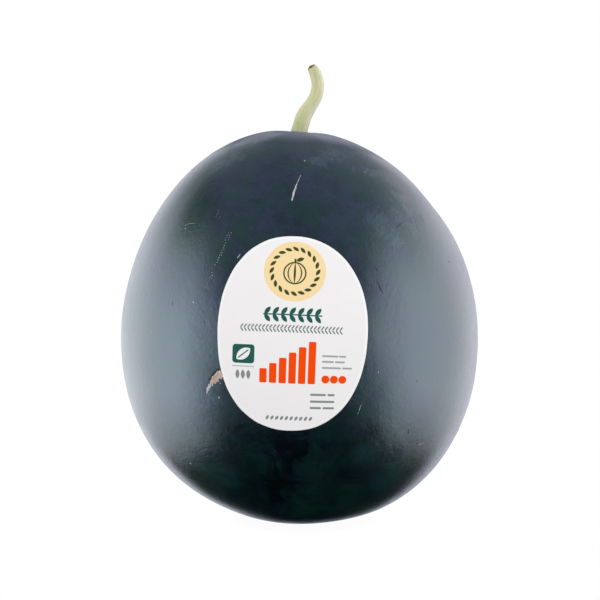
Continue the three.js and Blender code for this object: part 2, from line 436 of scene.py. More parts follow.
def rind_rings():
    azimuth = circle(RIND_AROUND)
    scar = np.linspace(0, SCAR_RADIUS, SCAR_RINGS + 1)
    flat = np.linspace(SCAR_RADIUS, FOOT_RADIUS, FOOT_RINGS + 1)
    latitudes = np.linspace(FOOT_LATITUDE, math.pi / 2, RIND_RINGS)
    rings = [foot_points(azimuth, np.full(RIND_AROUND, radius)) for radius in (*scar[1:], *flat[1:-1])]
    rings += [rind_points(azimuth, latitude) for latitude in latitudes[:-1]]
    return [[foot_points(0, 0)], *rings, [rind_points(0, math.pi / 2)]]


# ---- node helpers


class Nodes:
    """Builds a node tree. Every input may be a number, a tuple or another node's output."""

    def __init__(self, tree):
        self.tree = tree
        tree.nodes.clear()

    def feed(self, socket, value):
        if isinstance(value, bpy.types.NodeSocket):
            self.tree.links.new(value, socket)
        elif socket.type == "RGBA" and len(value) == 3:
            socket.default_value = (*value, 1)
        else:
            socket.default_value = value

    def add(self, kind, inputs=(), **settings):
        node = self.tree.nodes.new("ShaderNode" + kind)
        for name, value in settings.items():
            setattr(node, name, value)
        for name, value in dict(inputs).items():
            self.feed(node.inputs[name], value)
        return node

    def math(self, operation, first, *others):
        """The operation on two values, or on more of them from left to right."""
        for other in others or (0.0,):
            first = self.add("Math", {0: first, 1: other}, operation=operation).outputs[0]
        return first

    def plus(self, *values):
        return self.math("ADD", *values)

    def minus(self, first, second):
        return self.math("SUBTRACT", first, second)

    def times(self, *values):
        return self.math("MULTIPLY", *values)

    def vector(self, operation, first, second=(0, 0, 0)):
        node = self.add("VectorMath", {0: first, 1: second}, operation=operation)
        return node.outputs["Value" if operation == "LENGTH" else "Vector"]

    def scaled(self, vector, factor):
        return self.add("VectorMath", {0: vector, "Scale": factor}, operation="SCALE").outputs["Vector"]

    def split(self, vector):
        return self.add("SeparateXYZ", {0: vector}).outputs

    def join(self, x, y, z=0):
        return self.add("CombineXYZ", {0: x, 1: y, 2: z}).outputs[0]

    def remap(self, value, low, high, out_low=0.0, out_high=1.0, smooth=True):
        names = ("Value", "From Min", "From Max", "To Min", "To Max")
        inputs = zip(names, (value, low, high, out_low, out_high))
        kind = "SMOOTHSTEP" if smooth else "LINEAR"
        return self.add("MapRange", inputs, interpolation_type=kind).outputs["Result"]

    def noise(self, vector, scale, detail=2.0, roughness=0.5, distortion=0.0):
        names = ("Vector", "Scale", "Detail", "Roughness", "Distortion")
        inputs = zip(names, (vector, scale, detail, roughness, distortion))
        return self.add("TexNoise", inputs).outputs["Fac"]

    def cells(self, vector, scale):
        """The distance from the nearest of some scattered points."""
        inputs = {"Vector": vector, "Scale": scale, "Randomness": 1}
        return self.add("TexVoronoi", inputs).outputs["Distance"]

    def mix(self, factor, first, second):
        node = self.add("Mix", data_type="RGBA")
        self.feed(node.inputs[0], factor)
        self.feed(node.inputs[6], first)
        self.feed(node.inputs[7], second)
        return node.outputs[2]

    def coats(self, surface, coats):
        """A colour under further coats, each of which is a mask and a colour."""
        for mask, tint in coats:
            surface = self.mix(mask, surface, tint)
        return surface

    def bump(self, height, distance, normal=None):
        inputs = {"Height": height, "Distance": distance, "Strength": 1.0}
        if normal is not None:
            inputs["Normal"] = normal
        return self.add("Bump", inputs).outputs["Normal"]

    def place(self):
        return self.add("TexCoord").outputs["Object"]

    def attribute(self, name):
        return self.add("Attribute", attribute_name=name).outputs["Vector"]

    def end(self, kind, shader):
        self.tree.links.new(shader.outputs[0], self.add("Output" + kind).inputs["Surface"])

    def finish(self, **inputs):
        inputs = {name.replace("_", " "): value for name, value in inputs.items()}
        self.end("Material", self.add("BsdfPrincipled", inputs))


def new_material(name):
    material = bpy.data.materials.new(name)
    material.use_nodes = True
    return material, Nodes(material.node_tree)


def colour(red, green, blue):
    """Linear colour from values of 0 to 255 as they look on a screen."""
    shares = [value / 255 for value in (red, green, blue)]
    return tuple(share / 12.92 if share <= 0.04045 else ((share + 0.055) / 1.055) ** 2.4 for share in shares)


# ---- materials


class Rind:
    """What the steps of the rind's material share: places, noises and where the bloom is rubbed off."""

    def __init__(self, nodes):
        self.nodes = nodes
        self.place = nodes.place()
        x, y, self.height = nodes.split(self.place)
        self.axis_distance = nodes.vector("LENGTH", nodes.join(x, y))
        self.azimuth = nodes.math("ARCTAN2", y, x)
        self.at_top = nodes.remap(self.height, *TOP_HEIGHTS)
        self.hue = nodes.noise(self.place, 26, 5, 0.72, 0.5)
        self.mottle = nodes.noise(self.place, 60, 5, 0.65, 1.0)
        self.fine = nodes.noise(self.place, 240, 4, 0.7, 1.2)
        clouds = nodes.noise(self.place, 16, 4, 0.6, 0.8)
        shares = ((clouds, 0.36), (self.mottle, 0.38), (self.fine, 0.26))
        self.patchy = nodes.plus(*[nodes.times(noise, share) for noise, share in shares])
        blotches = nodes.remap(nodes.noise(self.place, 38, 4, 0.65, 0.6), 0.54, 0.68, 0, 0.7)
        self.rubbed = nodes.math("MAXIMUM", self.spread(RUBBED_PATCHES), blotches)

    def spread(self, patches, raggedness=0.045):
        """How far a place lies inside any of the patches, whose edges are ragged."""
        nodes = self.nodes
        ragged = nodes.times(nodes.minus(self.mottle, 0.5), raggedness)
        inside = 0.0
        for *pixel, size in patches:
            radius = size * MM
            away = nodes.vector("LENGTH", nodes.vector("SUBTRACT", self.place, seen_place(pixel)))
            edge = nodes.remap(nodes.plus(away, ragged), radius * 1.4, radius * 0.3)
            inside = nodes.math("MAXIMUM", inside, edge)
        return inside


def green_skin(rind):
    """Mottled green under faint darker stripes with jagged edges."""
    nodes = rind.nodes
    tone = nodes.plus(nodes.times(rind.hue, 0.4), nodes.times(rind.mottle, 0.3), nodes.times(rind.fine, 0.3))
    green = nodes.mix(nodes.remap(tone, 0.44, 0.56), colour(6, 19, 25), colour(8, 33, 29))
    jag = nodes.times(nodes.noise(rind.place, 55, 4, 0.6, 0.4), 4.2)
    stripes = nodes.math("SINE", nodes.plus(nodes.times(rind.azimuth, LOBES), jag))
    stripes = nodes.remap(stripes, 0.2, 1.0, 0, 0.5)
    dark = nodes.times(rind.spread(DARK_PATCHES), 0.85)
    return nodes.coats(green, [(stripes, colour(3, 12, 16)), (dark, colour(3, 7, 10))])


def wax_bloom(rind):
    """A coat of lilac and grey-green wax, patchy and on the upper side only."""
    nodes = rind.nodes
    wax = nodes.mix(nodes.remap(rind.hue, 0.41, 0.59), colour(28, 33, 58), colour(8, 41, 38))
    thick = nodes.remap(rind.patchy, 0.42, 0.58, 0.15, 1)
    left = nodes.minus(1.0, rind.rubbed)
    return nodes.times(thick, left, nodes.remap(rind.height, *BLOOM_HEIGHTS)), wax


def patch_coats(rind):
    """Coats for patches of another colour, and painted highlights round the stem and on the top rim."""
    nodes = rind.nodes
    green = nodes.times(rind.spread(GREEN_PATCHES), nodes.remap(rind.mottle, 0.4, 0.6, 0.2, 1))
    haze = nodes.times(rind.spread(HAZY_PATCHES), nodes.remap(rind.fine, 0.35, 0.65, 0.2, 0.6))
    # A painted highlight: a pale lilac ring round the stem that stands in for the gloss of its dull ring
    ring = nodes.times(nodes.remap(rind.axis_distance, *HIGHLIGHT_RING, 0, 0.7), rind.at_top)
    return [
        (nodes.times(rind.rubbed, 0.8), colour(7, 43, 32)),
        (green, colour(10, 46, 44)),
        (haze, colour(62, 80, 90)),
        (nodes.times(rind.spread(BROWN_PATCHES, 0.02), 0.28), colour(98, 86, 88)),
        (ring, colour(106, 108, 128)),
        # Painted highlights: pale grey-lilac patches along the top rim
        (nodes.times(rind.spread(RIM_HIGHLIGHT_PATCHES, 0.015), 0.38), colour(150, 148, 160)),
    ]


def blossom_scar(rind):
    """A coat of cork in the hollow of the flat spot."""
    nodes = rind.nodes
    edge = nodes.plus(rind.axis_distance, nodes.times(nodes.noise(rind.place, 500, 3), 0.004))
    cork = nodes.mix(nodes.noise(rind.place, 900, 4), colour(92, 70, 48), colour(168, 140, 104))
    return nodes.times(nodes.remap(edge, *SCAR_EDGE), nodes.remap(rind.height, *SCAR_TOP)), cork


def pores(rind):
    """A coat of tiny pale dots."""
    nodes = rind.nodes
    dots = nodes.remap(nodes.cells(rind.place, 240), 0.12, 0.05)
    return nodes.times(dots, nodes.remap(rind.mottle, 0.5, 0.62), 0.3), colour(70, 84, 84)


def rind_roughness(rind, scar):
    """Satin, with clearer gloss where the bloom is rubbed off and less round the stem and in the scar."""
    nodes = rind.nodes
    satin = nodes.remap(rind.patchy, 0.4, 0.6, 0.15, 0.24)
    dull = nodes.times(nodes.remap(rind.axis_distance, *DULL_RING, 0, 0.35), rind.at_top)
    return nodes.plus(nodes.minus(satin, nodes.times(rind.rubbed, 0.05)), dull, nodes.times(scar, 0.45))


def rind_material():
    material, nodes = new_material("dark_waxy_rind")
    rind = Rind(nodes)
    scar = blossom_scar(rind)
    surface = nodes.coats(green_skin(rind), [wax_bloom(rind), *patch_coats(rind), scar, pores(rind)])
    nodes.finish(
        Base_Color=surface,
        Roughness=rind_roughness(rind, scar[0]),
        IOR=RIND_IOR,
        Specular_Tint=RIND_TINT,
        Normal=nodes.bump(rind.fine, 0.00012, nodes.bump(rind.mottle, 0.0002)),
    )
    return material


def scab_material(name, dark, light, roughness, bump_height):
    """A matt skin that wanders between two colours."""
    material, nodes = new_material(name)
    wander = nodes.noise(nodes.place(), 900, 5, 0.65)
    surface = nodes.mix(nodes.remap(wander, 0.35, 0.65), colour(*dark), colour(*light))
    nodes.finish(Base_Color=surface, Roughness=roughness, Normal=nodes.bump(wander, bump_height))
    return material


def stem_material():
    material, nodes = new_material("dried_stem")
    around, rise, cut = nodes.split(nodes.attribute("route"))
    place = nodes.place()
    turn_x = nodes.math("COSINE", around)
    strand_place = nodes.join(turn_x, nodes.math("SINE", around), nodes.times(rise, 1.2))
    strands = nodes.noise(strand_place, 2.2, 4, 0.55)
    wide = nodes.noise(place, 110, 3, 0.5)
    pith = nodes.mix(nodes.noise(place, 1800, 4), colour(66, 56, 38), colour(138, 126, 94))
    surface = nodes.coats(
        nodes.mix(nodes.remap(strands, 0.36, 0.64), colour(196, 199, 154), colour(213, 213, 168)),
        [
            # Painted light: the stem's +X side is drawn paler, as its lit side
            (nodes.remap(turn_x, 0.2, 0.9, 0, 0.75), colour(230, 226, 202)),
            (nodes.remap(wide, 0.52, 0.7, 0, 0.5), colour(212, 200, 166)),
            (nodes.remap(wide, 0.46, 0.3, 0, 0.5), colour(190, 198, 126)),
            (nodes.remap(nodes.cells(place, 900), 0.16, 0.08, 0, 0.2), colour(160, 158, 112)),
            (nodes.remap(rise, 0.12, 0.0, 0, 0.3), colour(196, 200, 180)),
            (cut, pith),
        ],
    )
    nodes.finish(
        Base_Color=surface,
        Roughness=nodes.remap(cut, 0, 1, 0.62, 0.9, smooth=False),
        Specular_IOR_Level=0.3,
        Normal=nodes.bump(nodes.noise(place, 1400, 3), 0.00002, nodes.bump(strands, 0.0001)),
    )
    return material


class Plan:
    """Masks of plain shapes on the label's flat plan, in millimetres from its middle."""

    EDGE = 0.16  # width of a printed shape's soft edge

    def __init__(self, nodes, place):
        self.nodes = nodes
        self.place = place

    def around(self, x, y, squeeze=1.0):
        """The plan measured from a point of it, with its height squeezed."""
        place = self.nodes.vector("SUBTRACT", self.place, (x, y, 0))
        return Plan(self.nodes, self.nodes.vector("DIVIDE", place, (1, squeeze, 1)))

    def wreath(self, count):
        """The plan folded round its origin, so that a shape on its +X axis comes up that many times."""
        nodes = self.nodes
        across, up, _ = nodes.split(self.place)
        turn = 2 * math.pi / count
        angle = nodes.math("ARCTAN2", up, across)
        angle = nodes.minus(angle, nodes.math("SNAP", nodes.plus(angle, turn / 2), turn))
        reach = nodes.vector("LENGTH", self.place)
        across = nodes.times(reach, nodes.math("COSINE", angle))
        return Plan(nodes, nodes.join(across, nodes.times(reach, nodes.math("SINE", angle))))

    def row(self, pitch, count):
        """The plan folded along a level row, so that a shape at its origin comes up that many times."""
        nodes = self.nodes
        across, up, _ = nodes.split(self.place)
        middle = (count - 1) / 2
        step = nodes.math("ROUND", nodes.plus(nodes.math("DIVIDE", across, pitch), middle))
        step = nodes.math("MINIMUM", nodes.math("MAXIMUM", step, 0), count - 1)
        shift = nodes.times(nodes.minus(step, middle), pitch)
        return Plan(nodes, nodes.join(nodes.minus(across, shift), up))

    def box(self, x, y, width, height, corner=0.0, turn=0.0):
        """A rounded box. With the corner half of both sides it is a disc."""
        nodes = self.nodes
        place = nodes.vector("SUBTRACT", self.place, (x, y, 0))
        if turn:
            inputs = {"Vector": place, "Angle": math.radians(-turn)}
            place = nodes.add("VectorRotate", inputs, rotation_type="Z_AXIS").outputs[0]
        size = (width / 2 - corner, height / 2 - corner, 1)
        beyond = nodes.vector("SUBTRACT", nodes.vector("ABSOLUTE", place), size)
        distance = nodes.vector("LENGTH", nodes.vector("MAXIMUM", beyond, (0, 0, 0)))
        return nodes.remap(distance, corner + self.EDGE, corner, smooth=False)

    def disc(self, x, y, radius):
        return self.box(x, y, 2 * radius, 2 * radius, radius)

    def either(self, masks):
        return self.nodes.math("MAXIMUM", *masks)

    def without(self, mask, hole):
        return self.nodes.times(mask, self.nodes.minus(1.0, hole))

    def ring(self, x, y, radius, thickness):
        return self.without(self.disc(x, y, radius), self.disc(x, y, radius - thickness))

    def leaf(self, x, y, length, width, turn):
        """Where two discs overlap, with its tips along the turned X axis."""
        radius = (length**2 / 4 + width**2 / 4) / width
        off = radius - width / 2
        angle = math.radians(turn)
        aside = (-math.sin(angle) * off, math.cos(angle) * off)
        one = self.disc(x + aside[0], y + aside[1], radius)
        return self.nodes.times(one, self.disc(x - aside[0], y - aside[1], radius))


def melon_emblem(plan):
    """A striped melon drawn in line, inside a wreath of leaves."""
    outline = plan.leaf(0, -1.4, 14.6, 9.6, 90)
    return plan.either(
        [
            plan.wreath(20).leaf(15.3, 0, 4.8, 2.1, 58),
            plan.ring(0, -1.4, 7.6, 1),
            plan.without(outline, plan.leaf(0, -1.4, 14.6, 7.8, 90)),
            plan.leaf(0, -1.4, 14.6, 1.3, 90),
            plan.box(0, 6.9, 1.1, 3, 0.5),
            plan.leaf(3.2, 8, 5.4, 2.5, 22),
        ]
    )


def leaf_garland(plan, pitch, count):
    """A level stalk with a pair of leaves at every pitch."""
    row = plan.row(pitch, count)
    pair = [row.leaf(0, side * 2.3, 5.8, 2.7, side * 50) for side in (1, -1)]
    return plan.either([*pair, plan.box(0, 0, pitch * count, 0.7, 0.3)])


def braided_rule(plan, pitch, count):
    """Two rows of short slanting dashes that mirror one another."""
    row = plan.row(pitch, count)
    return plan.either([row.box(0, side * 1.2, 2.7, 0.75, 0.3, side * 52) for side in (1, -1)])


def rising_bars(plan, width, height, count):
    """A gauge of bars that rise from left to right on one base line."""
    pitch = width / count
    bars = []
    for step in range(count):
        tall = height * (0.34 + 0.66 * step / (count - 1))
        bars.append(plan.box(pitch * (step + 0.5) - width / 2, (tall - height) / 2, pitch * 0.74, tall, 0.7))
    return plan.either(bars)


def leaf_tag(plan):
    """A rounded square with a leaf left bare in it, and the leaf's vein."""
    bare = plan.without(plan.leaf(0, 0, 11.4, 6.4, 38), plan.box(0, 0, 8.6, 0.6, 0.3, 38))
    return plan.without(plan.box(0, 0, 14.8, 12.2, 2), bare)


def label_material():
    """White film with a painted highlight along its rim and a plain print, listed from top to bottom."""
    material, nodes = new_material("printed_film")
    across, up, inward = nodes.split(nodes.attribute("plan"))
    place = nodes.join(across, up)
    plan = Plan(nodes, place)
    medallion = plan.around(0.4, 41.6, 0.94)
    teal = colour(38, 92, 84)
    orange = colour(247, 77, 11)
    grey = colour(136, 143, 143)
    pale_grey = colour(165, 169, 170)
    paper = nodes.mix(nodes.noise(place, 0.05, 2), colour(240, 238, 239), colour(244, 242, 243))
    prints = [
        (medallion.disc(0, 0, 20.4), colour(248, 222, 168)),
        (melon_emblem(medallion), colour(70, 77, 43)),
        (leaf_garland(plan.around(0.2, 14), 5.5, 7), teal),
        (braided_rule(plan.around(-0.4, 5.2), 2.4, 28), colour(122, 132, 132)),
        (leaf_tag(plan.around(-31.3, -11.8)), teal),
        (plan.box(-31.3, -20, 14.8, 0.4), pale_grey),
        (plan.around(-31.3, -25.4).row(3.7, 3).leaf(0, 0, 6, 2.6, 90), grey),
        (rising_bars(plan.around(-2, -16.4), 38, 27.6, 6), orange),
        (plan.either([plan.disc(x, -26.8, 2.6) for x in (23, 28.6, 34.2)]), orange),
        (plan.either([plan.box(*dash, 1.1, 0.5) for dash in PALE_DASHES]), pale_grey),
        (plan.either([plan.box(*dash, 1.4, 0.6) for dash in GREY_DASHES]), grey),
        (plan.around(-0.2, -55).row(3.2, 10).leaf(0, 0, 3.6, 1.7, 60), grey),
    ]
    nodes.finish(
        # The pale band along the film's edge is a painted highlight
        Base_Color=nodes.coats(paper, [(nodes.remap(inward, 1.9, 1.2), colour(251, 251, 251)), *prints]),
        Roughness=0.6,
        IOR=1.46,
        Specular_IOR_Level=0.02,
        Normal=nodes.bump(nodes.noise(place, 1.6, 4, 0.6), 0.00003),
    )
    return material


# ---- the pieces


def make_rind():
    make_piece("watermelon_rind", RIND_POINTS, RIND_FACES, rind_material(), "fruit")


def along_path(points, count):
    """Evenly spaced points on the rind along a path of points."""
    lengths = [0.0]
    for before, after in zip(points, points[1:]):
        lengths.append(lengths[-1] + (after - before).length)
    stops = np.linspace(0, lengths[-1], count)
    columns = [np.interp(stops, lengths, [point[axis] for point in points]) for axis in range(3)]
    return [RIND_SURFACE.find_nearest(Vector(stop))[0] for stop in zip(*columns)]


def mark_ring(middle, side, width, slip, rise):
    """A ring round a mark's middle line: low over the rind, and sunk under it."""
    ring = []
    for turn in circle(MARK_AROUND):
        across = side * (width / 2 * math.cos(turn) + slip)
        place, outward = RIND_SURFACE.find_nearest(middle + across)[:2]
        up = math.sin(turn)
        ring.append(place + outward * (up * rise if up > 0 else up * MARK_SUNK))
    return ring


def mark_body(points, widths, ragged, height, draw):
    """Points and faces of one long, low scab on the rind. Its widths run from end to end, in metres."""
    length = sum((after - before).length for before, after in zip(points, points[1:]))
    count = max(7, int(length / MARK_STEP))
    path = along_path(points, count)
    rings = []
    for step, middle in enumerate(path):
        share = step / (count - 1)
        normal = RIND_SURFACE.find_nearest(middle)[1]
        ahead = (path[min(step + 1, count - 1)] - path[max(step - 1, 0)]).normalized()
        side = normal.cross(ahead).normalized()
        taper = math.sqrt(max(1 - (2 * share - 1) ** 8, 0))
        width = value_at(share, widths) * taper * (1 + ragged * draw.uniform(-1, 1))
        slip = width * ragged * draw.uniform(-0.5, 0.5)
        rise = height * draw.uniform(0.7, 1.2) * taper
        if step in (0, count - 1):
            rings.append([middle - normal * MARK_SUNK / 2])
        else:
            rings.append(mark_ring(middle, side, width, slip, rise))
    return closed_body(rings)


def make_marks(name, marks, height, material, draw):
    """One piece of many marks, each given as its points, widths in millimetres and raggedness."""
    points, faces = [], []
    for path, widths, ragged in marks:
        body_points, body_faces = mark_body(path, [width * MM for width in widths], ragged, height, draw)
        faces += [tuple(corner + len(points) for corner in face) for face in body_faces]
        points += body_points
    make_piece(name, points, faces, material)


def seen_marks(marks):
    """The points, widths and raggedness of marks that are given by their pixels."""
    return [([seen_place(pixel) for pixel in pixels], widths, ragged) for pixels, widths, ragged in marks]


def pricked_marks(draw):
    """Short pricks along each pricked line, a little to either side of it."""
    pricks = []
    for pixels, count, full_width in PRICKED_LINES:
        stops = along_path([seen_place(pixel) for pixel in pixels], 3 * count)
        for first in range(0, len(stops) - 2, 3):
            width = full_width * draw.uniform(0.6, 1.2)
            aside = Vector((draw.gauss(0, 0.35) * MM, 0, 0))
            ends = [stop + aside for stop in stops[first : first + 2]]
            pricks.append((ends, (width * 0.5, width, width * 0.5), 0.2))
    return pricks


def hidden_marks(draw):
    """Scratches and specks scattered over the sides and the back."""
    marks = []
    for _ in range(HIDDEN_MARKS):
        azimuth = draw.uniform(-HIDDEN_MARK_OVERLAP, math.pi + HIDDEN_MARK_OVERLAP)
        latitude = math.asin(draw.uniform(*HIDDEN_MARK_HEIGHTS))
        length = draw.choice(HIDDEN_MARK_LENGTHS) * MM / EQUATOR_RADIUS
        heading = math.pi / 2 + draw.gauss(0, 0.5)
        bend = draw.uniform(-0.15, 0.15)
        points = []
        for share in (-0.5, 0, 0.5):
            aside = length * (share * math.cos(heading) + bend * (0.25 - share**2)) / math.cos(latitude)
            rise = length * share * math.sin(heading)
            points.append(Vector(rind_points(azimuth + aside, latitude + rise)))
        width = draw.uniform(0.35, 1.1)
        marks.append((points, (0.1, width, width * draw.uniform(0.3, 0.9), 0.1), 0.3))
    return marks


def make_all_marks():
    draw = random.Random(HIDDEN_MARK_SEED)
    hidden = hidden_marks(draw)
    third = len(hidden) // 3
    cork = scab_material("corky_scab", (158, 134, 122), (206, 188, 177), 0.85, 0.0002)
    pale = scab_material("pale_scuff", (146, 150, 147), (212, 211, 205), 0.7, 0.0001)
    dark = scab_material("dark_scratch", (8, 14, 16), (22, 30, 32), 0.75, 0.0001)
    make_marks("corky_scabs", seen_marks(CORKY_MARKS) + hidden[:third], SCAB_HEIGHT, cork, draw)
    pale_marks = seen_marks(PALE_MARKS) + pricked_marks(draw) + hidden[third : 2 * third]
    make_marks("pale_scuffs", pale_marks, SCUFF_HEIGHT, pale, draw)
    make_marks("dark_scratches", seen_marks(DARK_MARKS) + hidden[2 * third :], SCRATCH_HEIGHT, dark, draw)


def line_point(share):
    """A point on the stem's middle line, by a Catmull-Rom curve, and the direction there."""
    points = [Vector(point) * MM for point in STEM_LINE]
    points = [2 * points[0] - points[1], *points, 2 * points[-1] - points[-2]]
    place = min(max(share, 0.0), 1.0) * (len(STEM_LINE) - 1)
    index = min(int(place), len(STEM_LINE) - 2)
    before, start, end, after = points[index : index + 4]
    t = place - index
    slope = (end - before) / 2
    bend = (2 * before - 5 * start + 4 * end - after) / 2
    twist = (3 * start - before - 3 * end + after) / 2
    point = start + slope * t + bend * t**2 + twist * t**3
    return point, (slope + bend * (2 * t) + twist * (3 * t**2)).normalized()


def stem_end(azimuth):
    """The share of the stem's line where its side ends. The back of the stem runs on the longest."""
    aside = math.cos(azimuth)
    flank = CUT_LOSS_RIGHT * aside**3 if aside > 0 else CUT_LOSS_LEFT * aside**2
    frayed = CUT_FRAY * math.sin(5 * azimuth) * math.sin(2 * azimuth + 1)
    return 1 - flank - CUT_LOSS_FRONT * (0.5 - 0.5 * math.sin(azimuth)) + frayed


def stem_side(share, azimuth, bottom):
    """A point of the stem's side, at a share of the side's length at that azimuth."""
    place = share * stem_end(azimuth)
    centre, heading = line_point(place)
    right = Vector((0, 1, 0)).cross(heading).normalized()
    back = heading.cross(right)
    radius = value_at(place, STEM_RADII) * MM
    flare = STEM_FLARE * math.exp(-centre.z / STEM_FLARE_LENGTH)
    ribs = STEM_RIB_HEIGHT * math.cos(STEM_RIBS * azimuth)
    twist = STEM_STRANDS * (azimuth + 0.35 * place) + 2.2 * math.sin(9 * place)
    strands = STEM_STRAND_HEIGHT * math.cos(twist)
    knots = STEM_KNOT_HEIGHT * math.sin(23 * place + 1.5 * math.sin(azimuth))
    knots *= math.sin(3 * azimuth + 7 * place)
    reach = radius + flare + ribs + strands + knots
    aside = (right * math.cos(azimuth) + back * math.sin(azimuth)) * reach
    return centre + aside + Vector((0, 0, bottom))


def stem_rings(bottom, azimuth):
    """Rings of the stem from its foot to its cut, each with its share of the length and how dark it is."""
    rings = []
    for share in np.linspace(0, 1, STEM_RINGS):
        ring = np.array([stem_side(share, angle, bottom) for angle in azimuth])
        rings.append((ring, share, np.zeros(len(azimuth))))
    foot = rings[0][0]
    distance = np.hypot(foot[:, 0], foot[:, 1])
    latitude = np.arccos(distance / (EQUATOR_RADIUS * (1 - STEM_END_SLIM)))
    foot[:, 2] = rind_points(np.arctan2(foot[:, 1], foot[:, 0]), latitude)[:, 2]
    edge = rings[-1][0]
    centre = np.array(line_point(1)[0]) + (0, 0, bottom)
    pith = centre - (0, 0, CUT_HOLLOW)
    for step in range(1, CUT_RINGS):
        inward = step / CUT_RINGS
        ring = edge + (centre - edge) * inward
        ring[:, 2] -= CUT_HOLLOW * math.sin(inward * math.pi / 2)
        ring[:, 2] += CUT_ROUGHNESS * np.sin(9 * azimuth + 4 * inward) * inward * (1 - inward) * 4
        dark = smooth_step(*CUT_DARK_SIDE, ring[:, 0] - centre[0])
        rings.append((ring, 1.0, dark * smooth_step(CUT_RIM * 0.3, CUT_RIM, inward)))
    return rings, pith


def make_stem():
    azimuth = circle(STEM_AROUND)
    bottom = rind_points(0, math.pi / 2)[2]
    rings, pith = stem_rings(bottom, azimuth)
    points, faces = closed_body([[(0, 0, bottom)], *[ring[0] for ring in rings], [pith]])
    stem = make_piece("dried_stem", points, faces, stem_material(), "stem")
    route = [(0.0, 0.0, 0.0)]
    for _, share, cuts in rings:
        route += [(angle, share, cut) for angle, cut in zip(azimuth, cuts)]
    route.append((0.0, 1.0, 1.0))
    store_vectors(stem, "route", route)


def label_places(across, up, lift):
    """Places over the rind for points of the flat label, measured from its middle."""
    side = LABEL_ASIDE / EQUATOR_RADIUS - math.pi / 2
    level = math.cos(LABEL_LATITUDE)
    normal = Vector((level * math.cos(side), level * math.sin(side), math.sin(LABEL_LATITUDE)))
    right = Vector((-math.sin(side), math.cos(side), 0))
    top = normal.cross(right)
    cosine, sine = math.cos(LABEL_ROLL), math.sin(LABEL_ROLL)
    x = (across * cosine - up * sine) / EQUATOR_RADIUS
    y = (across * sine + up * cosine) / HALF_LENGTH
    angle = np.maximum(np.hypot(x, y), 1e-9)
    bend = np.sin(angle) / angle
    ray = np.outer(np.cos(angle), normal) + np.outer(x * bend, right) + np.outer(y * bend, top)
    points = rind_points(np.arctan2(ray[:, 1], ray[:, 0]), np.arcsin(ray[:, 2]))
    return points + rind_normals(points) * np.reshape(lift, (-1, 1))


def label_reach(azimuth):
    across = np.abs(np.cos(azimuth) * 2 / LABEL_WIDTH) ** LABEL_SQUARENESS
    up = np.abs(np.sin(azimuth) * 2 / LABEL_HEIGHT) ** LABEL_SQUARENESS
    return (across + up) ** (-1 / LABEL_SQUARENESS)


def make_label():
    azimuth = circle(LABEL_AROUND)
    reach = label_reach(azimuth)
    rings = []
    plan = []
    rows = [(share, False) for share in np.linspace(0, 1, LABEL_RINGS)]
    rows += [(share, True) for share in np.linspace(1, 0, LABEL_RINGS)]
    for share, is_outer in rows:
        turn = azimuth[: None if share else 1]
        out = reach[: len(turn)] * share
        up = out * np.sin(turn)
        across = out * np.cos(turn) * (1 + LABEL_TAPER * 2 * up / LABEL_HEIGHT)
        pucker = LABEL_PUCKER * share**6 * (1 + np.sin(19 * turn + 2 * np.sin(3 * turn)))
        lift = LABEL_CLEARANCE + pucker + (LABEL_THICKNESS if is_outer else 0)
        if is_outer:
            lift = lift - LABEL_EDGE_DROP * share**60
        rings.append(label_places(across, up, lift))
        inward = reach[: len(turn)] * (1 - share)
        plan += [(x / MM, y / MM, deep / MM) for x, y, deep in zip(across, up, inward)]
    points, faces = closed_body(rings)
    label = make_piece("oval_label", points, faces, label_material(), "label")
    store_vectors(label, "plan", plan)


# ---- camera, floor and light


def make_camera():
    camera = add_object("camera", bpy.data.cameras.new("camera"))
    bpy.context.scene.camera = camera
    camera.data.lens = CAMERA_LENS
    camera.data.sensor_width = CAMERA_SENSOR
    camera.location = CAMERA_PLACE
    camera.rotation_mode = "QUATERNION"
    camera.rotation_quaternion = CAMERA_TURN


def make_floor():
    """A white floor with a faint contact shadow. Only the camera sees it."""
    material, nodes = new_material("white_floor")
    shade = nodes.add("AmbientOcclusion", {"Distance": CONTACT_REACH}, samples=16).outputs["AO"]
    tint = nodes.mix(shade, CONTACT_SHADE, (1, 1, 1))
    nodes.end("Material", nodes.add("Emission", {"Color": tint, "Strength": 1.0}))
    corners = [(x * FLOOR_REACH, y * FLOOR_REACH, 0) for x, y in ((-1, -1), (1, -1), (1, 1), (-1, 1))]
    floor = add_mesh("floor", corners, [(0, 1, 2, 3)], material)
    for rays in ("diffuse", "glossy", "transmission", "shadow"):
        setattr(floor, "visible_" + rays, False)


FLOOR_REACH = 40
CONTACT_REACH = 10 * MM
CONTACT_SHADE = (0.96, 0.96, 0.96)
# A long soft light on each side of the fruit, in degrees. Azimuths are counted from the camera to the
# light's own side. The light comes up between its two front azimuths, where its edge leans away with
# the elevation, above and below the horizon. It fades out between its back azimuths and upwards
# between its top elevations.
SIDE_LIGHTS = [
    {
        "side": -1, "strength": 4.05, "colour": (0.985, 0.995, 1.0),
        "front": (43, 80), "lean": (0.53, 0.48), "back": (80, 184), "top": (1, 49),
    },
    {
        "side": 1, "strength": 3.3, "colour": (1.04, 0.985, 0.985),
        "front": (29, 74), "lean": (0.36, 0.46), "back": (80, 178), "top": (14, 54),
    },
]
# Dark flags that shade the lights, each with its azimuth and elevation, how far it reaches from
# them and the share of the light that it takes
FLAGS = [
    ((-114, 38), (34, 16), 0.6),
    ((-146, 26), (20, 16), 0.3),
    ((158, 35), (26, 24), 0.33),
]
SKY_COLOUR = (0.9, 1.0, 1.24)
SKY_STRENGTHS = (0.4, 0.52)
